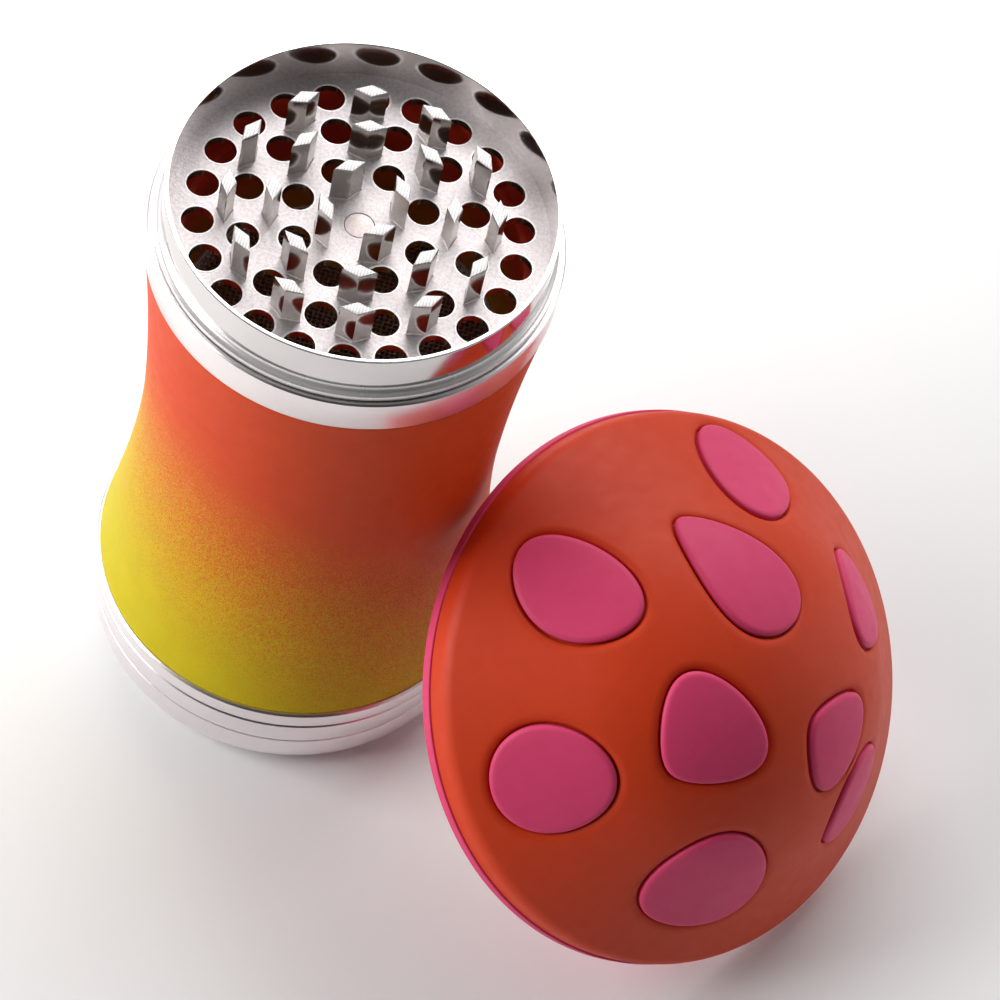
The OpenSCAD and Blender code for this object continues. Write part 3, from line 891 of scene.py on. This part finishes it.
def shell_points(edge_s, outer_loops):
    """Points spread over the flat dome: a jittered net, then fine rings over the shoulder and wall."""
    rows = int(edge_s / SHELL_PITCH) + 2
    grid = np.array([(SHELL_PITCH * (i + 0.5 * (j % 2)), SHELL_PITCH * 0.866 * j)
                     for i in range(-rows, rows + 1) for j in range(-rows - 9, rows + 10)])
    grid += RNG.uniform(-0.02, 0.02, grid.shape)
    flank_s = float(np.interp(FLANK_R, DOME_LINE[0], DOME_LINE[2]))
    bend_s = flank_s + SHOULDER_R * (math.pi / 2 - FLANK)
    grid = grid[np.hypot(grid[:, 0], grid[:, 1]) < flank_s - 0.7]
    fine = [*np.arange(flank_s - 0.2, bend_s + 0.2, 0.26), *np.linspace(bend_s + 0.7, edge_s - 0.7, 4)]
    grid = np.vstack([grid] + [circle(0, 0, s, 2 * ROUND_STEPS) for s in fine])
    for loop in outer_loops:
        middle = loop.mean(axis=0)
        away = loop - middle
        wide = middle + away * (1 + 0.45 / np.linalg.norm(away, axis=1, keepdims=True))
        grid = grid[~inside(grid, wide)]
    return grid


def cap_shell():
    """The dome with a pocket for each spot; the shell rolls softly down to each gap."""
    verts, faces, outer_loops = [], [], []
    rolls = [SPOT_GAP + ROLL_W * (k / 9) for k in range(10)]

    def add(v, f):
        base = len(verts)
        verts.extend(tuple(p) for p in v)
        faces.extend(tuple(int(i) + base for i in face) for face in f)
    for spot in SPOTS:
        add(*spot_pocket(spot, rolls))
        outer_loops.append(to_flat(on_dome(spot, egg(spot, rolls[-1], SPOT_STEPS))))
    edge_s = float(np.interp(-LIP_H, -DOME_LINE[1], DOME_LINE[2]))
    grid = shell_points(edge_s, outer_loops)
    pts, edges = [], []
    for loop in outer_loops + [np.array(circle(0, 0, edge_s, ROUND_STEPS))]:
        base, n = len(pts), len(loop)
        pts += [tuple(p) for p in loop]
        edges += [(base + i, base + (i + 1) % n) for i in range(n)]
    pts += [tuple(p) for p in grid]
    out, _, tris, *_ = delaunay_2d_cdt([Vector(p) for p in pts], edges, [], 0, 1e-7)
    flat = np.array([(p.x, p.y) for p in out])
    tris = np.array([tuple(t) for t in tris])
    middle = flat[tris].mean(axis=1)
    in_spot = np.zeros(len(tris), bool)
    for loop in outer_loops:
        in_spot |= inside(middle, loop)
    add(from_flat(flat), tris[~in_spot])
    edge_r = float(np.interp(edge_s, DOME_LINE[2], DOME_LINE[0]))
    rim = [(edge_r, LIP_H), (edge_r - 0.05, LIP_H), (edge_r - CAP_WALL, LIP_H)]
    inner = [tuple(p) for p in dome_outline(-CAP_WALL, 40) if p[1] > LIP_H]
    add(*turn_profile(rim + inner[::-1], closed=False))
    make("cap_shell_dome", verts, faces, [M["orange"]], "cap", "cap_orange", ["cap_shell"], 50,
         place=CAP)


def spots():
    """Each spot is a raised pad that follows the dome, with a rounded edge."""
    for i, spot in enumerate(SPOTS, 1):
        outline = egg(spot, 0, SPOT_STEPS)
        low = on_dome(spot, outline)
        rings = [low - dome_normal(low) * SPOT_DEEP]
        for k in range(9):
            u = k / 8
            lift = SPOT_PROUD - PAD_DROP * (1 - math.sin(math.pi / 2 * u))
            p = on_dome(spot, egg(spot, -PAD_ROUND * (1 - math.cos(math.pi / 2 * u)), SPOT_STEPS))
            rings.append(p + dome_normal(p) * lift)
        core = egg(spot, -PAD_ROUND, SPOT_STEPS)
        middle = core.mean(axis=0)
        for k in range(1, 9):
            p = on_dome(spot, middle + (core - middle) * (1 - k / 8.4))
            rings.append(p + dome_normal(p) * SPOT_PROUD)
        verts, faces = loft(rings, cap_start=True)
        tip = on_dome(spot, middle[None, :])
        verts.append(tuple((tip + dome_normal(tip) * SPOT_PROUD)[0]))
        last = (len(rings) - 1) * SPOT_STEPS
        faces += [(last + k, last + (k + 1) % SPOT_STEPS, len(verts) - 1) for k in range(SPOT_STEPS)]
        make(f"spot_{i:02d}_pad", verts, faces, [M["pink"]], "cap", "cap_pink", [f"spot_{i:02d}"],
             50, place=CAP)


def cap_liner():
    """The lip, the rib inside the shell, the well for the lid plate and its screw bosses."""
    roof, rib = LID_Z1 + LINER_ROOF, LIP_H + RIB_H
    profile = [(LINER_IN, 0), (CAP_R - 0.4, 0), (CAP_R, 0.4), (CAP_R, LIP_H), (RIB_OUT, LIP_H),
               (RIB_OUT, rib), (RIB_IN, rib), (RIB_IN, LIP_H), (LINER_R, LIP_H),
               (LINER_R, LINER_Z1), (0, LINER_Z1), (0, roof), (LINER_IN, roof)]
    parts = [(*turn_profile(soften(profile, 0.22)), 0)]
    for k in range(SCREWS):
        boss = [circle_at(r, z, 32, SCREW_RING) for r, z in
                ((2.6, 10.1), (2.6, 13.0), (1.05, 13.0), (1.05, 9.6))]
        v, f = loft(boss)
        parts.append((moved(v, SCREW_TURN + 360 / SCREWS * k), f, 0))
    make("cap_liner_moulded", *joined(*parts)[:2], [M["pink"]], "cap", "cap_pink", ["cap_liner"],
         40, place=CAP)


def lid_plate():
    """The cap's inner plate: a skirted dish with diamond teeth that point out of the cap."""
    bore = MAGNET_R + MAGNET_GAP
    profile = [(bore, LID_Z0), (SKIRT_STEP_R, LID_Z0), (SKIRT_STEP_R, SKIRT_STEP_Z),
               (SKIRT_IN, SKIRT_STEP_Z), (SKIRT_IN, SKIRT_Z0), (LID_R, SKIRT_Z0), (LID_R, LID_Z1),
               (bore, LID_Z1)]
    verts, faces = turn_profile(soften(profile, 0.12))
    make("lid_plate_dish", verts, faces, [M["rim"]], "cap", "polished_metal", ["lid_plate"], 30,
         place=CAP)
    teeth_at("lid_plate_teeth", LID_TEETH, LID_Z0 - 0.4, LID_Z0, "cap", "lid_plate", down=True,
             place=CAP)


def lid_screws():
    """Countersunk screws seen from under the cap; each cross recess is a thin black sheet on the head,
    painted shade.
    """
    parts = []
    arm, half_w = 1.15, 0.2                     # of the cross
    seat_z = LID_Z0 + 0.02
    for k in range(SCREWS):
        angle = SCREW_TURN + 360 / SCREWS * k
        head = [circle_at(r, z, 40) for r, z in
                ((0.01, 0.0), (0.9, -0.02), (1.75, 0.0), (1.9, 0.08), (1.0, 0.95), (1.0, 5.5),
                 (0.01, 5.5))]
        v, f = loft(head)
        parts.append((moved(v, angle, SCREW_RING, seat_z), f, 0))
        # the cross recess: a thin black sheet of the gasket material, painted shade
        for turn in (0, 90):
            c, s = math.cos(math.radians(turn)), math.sin(math.radians(turn))
            box = [(x * c - y * s, x * s + y * c) for x, y in
                   ((-arm, -half_w), (arm, -half_w), (arm, half_w), (-arm, half_w))]
            slot = [[(x, y, z) for x, y in box] for z in (-0.05, -0.02)]
            v, f = loft(slot, cap_start=True)
            parts.append((moved(v, angle, SCREW_RING, seat_z), f, 1))
    verts, faces, kinds = joined(*parts)
    make("lid_screws_crosshead", verts, faces, [M["screw"], M["gasket"]], "cap", "screw_steel",
         ["lid_screws"], 35, kinds=kinds, place=CAP)


def friction_ring():
    """An angle ring: it lines the skirt and turns in under the lid plate."""
    profile = [(NYLON_IN, NYLON_Z0), (NYLON_R, NYLON_Z0), (NYLON_R, NYLON_Z1), (NYLON_LEG, NYLON_Z1),
               (NYLON_LEG, NYLON_Z1 - 0.5), (NYLON_IN, NYLON_Z1 - 0.5)]
    lathe("friction_ring_nylon", profile, M["nylon"], "cap_bearing", "nylon", ["friction_ring"],
          0.15, place=CAP)


base_cup()
lower_collar()
stem_shell()
top_collar()
gaskets()
screen_ring()
screen_mesh()
tooth_plate()
magnet("chamber_magnet_disc", "chamber_magnet", "chamber", PLATE_Z - 0.05, MAGNET_T)
cap_shell()
spots()
cap_liner()
lid_plate()
magnet("lid_magnet_disc", "lid_magnet", "cap", LID_Z0 + 2.0, 1.9, place=CAP)
lid_screws()
friction_ring()


# ---------------------------------------------------------------- floor, light and camera
def stage():
    n = Nodes("studio_floor", 0.7, colour=srgb(246, 246, 246))
    cloud = n.levels(n.noise(60, 2), 0.3, 0.7)
    n.feed("Base Color", n.mix(cloud, srgb(253, 253, 253), srgb(250, 250, 250)))
    mesh = bpy.data.meshes.new("floor")
    corners = [(x * FLOOR_HALF, y * FLOOR_HALF, 0) for x, y in ((-1, -1), (1, -1), (1, 1), (-1, 1))]
    mesh.from_pydata(corners, [], [(0, 1, 2, 3)])
    mesh.materials.append(n.mat)
    floor = bpy.data.objects.new("floor", mesh)
    bpy.context.scene.collection.objects.link(floor)


def lamp(name, place, size, power):
    """A soft white rectangular light at place, aimed at the part; lengths in metres."""
    data = bpy.data.lights.new(name, "AREA")
    data.shape, data.size, data.size_y = "RECTANGLE", size[0], size[1]
    data.energy = power
    obj = bpy.data.objects.new(name, data)
    obj.location = place
    obj.rotation_euler = (Vector(LIGHT_AIM) - Vector(place)).to_track_quat("-Z", "Y").to_euler()
    bpy.context.scene.collection.objects.link(obj)


def lights():
    """A light studio that is dark on the camera's side, and soft boxes."""
    world = bpy.data.worlds.new("studio")
    world.use_nodes = True
    tree = world.node_tree
    coord = tree.nodes.new("ShaderNodeTexCoord")
    facing = tree.nodes.new("ShaderNodeVectorMath")
    facing.operation = "DOT_PRODUCT"
    facing.inputs[1].default_value = STUDIO_DARK_SIDE
    fade = tree.nodes.new("ShaderNodeMapRange")
    for key, v in (("From Min", STUDIO_FADE[0]), ("From Max", STUDIO_FADE[1]),
                   ("To Min", SKY_BRIGHT), ("To Max", SKY_DARK)):
        fade.inputs[key].default_value = v
    tree.links.new(coord.outputs["Generated"], facing.inputs[0])
    tree.links.new(facing.outputs["Value"], fade.inputs["Value"])
    tree.links.new(fade.outputs["Result"], tree.nodes["Background"].inputs["Strength"])
    tree.nodes["Background"].inputs["Color"].default_value = (1.0, 1.0, 1.0, 1)
    bpy.context.scene.world = world
    for name, place, size, power in LAMPS:
        lamp(name, place, size, power)


def camera():
    """A long lens from above the front, rolled so that the body leans to the left in the picture."""
    right, ahead = Vector(CAMERA_RIGHT).normalized(), Vector(CAMERA_AHEAD)
    ahead = (ahead - right * ahead.dot(right)).normalized()
    up = right.cross(ahead)
    turn = Matrix((right, up, -ahead)).transposed()
    pan = (Matrix.Rotation(math.radians(-PAN_RIGHT), 3, "Y")
           @ Matrix.Rotation(math.radians(-PAN_DOWN), 3, "X"))
    data = bpy.data.cameras.new("photo_view")
    data.lens, data.sensor_width = LENS, SENSOR
    data.clip_start, data.clip_end = 0.02, 10
    cam = bpy.data.objects.new("photo_view", data)
    cam.matrix_world = Matrix.Translation(CAMERA_AT) @ (turn @ pan).to_4x4()
    bpy.context.scene.collection.objects.link(cam)
    bpy.context.scene.camera = cam


stage()
lights()
camera()
view = bpy.context.scene.view_settings
view.view_transform, view.look = "Standard", "None"
view.exposure, view.gamma = 0.0, 1.0
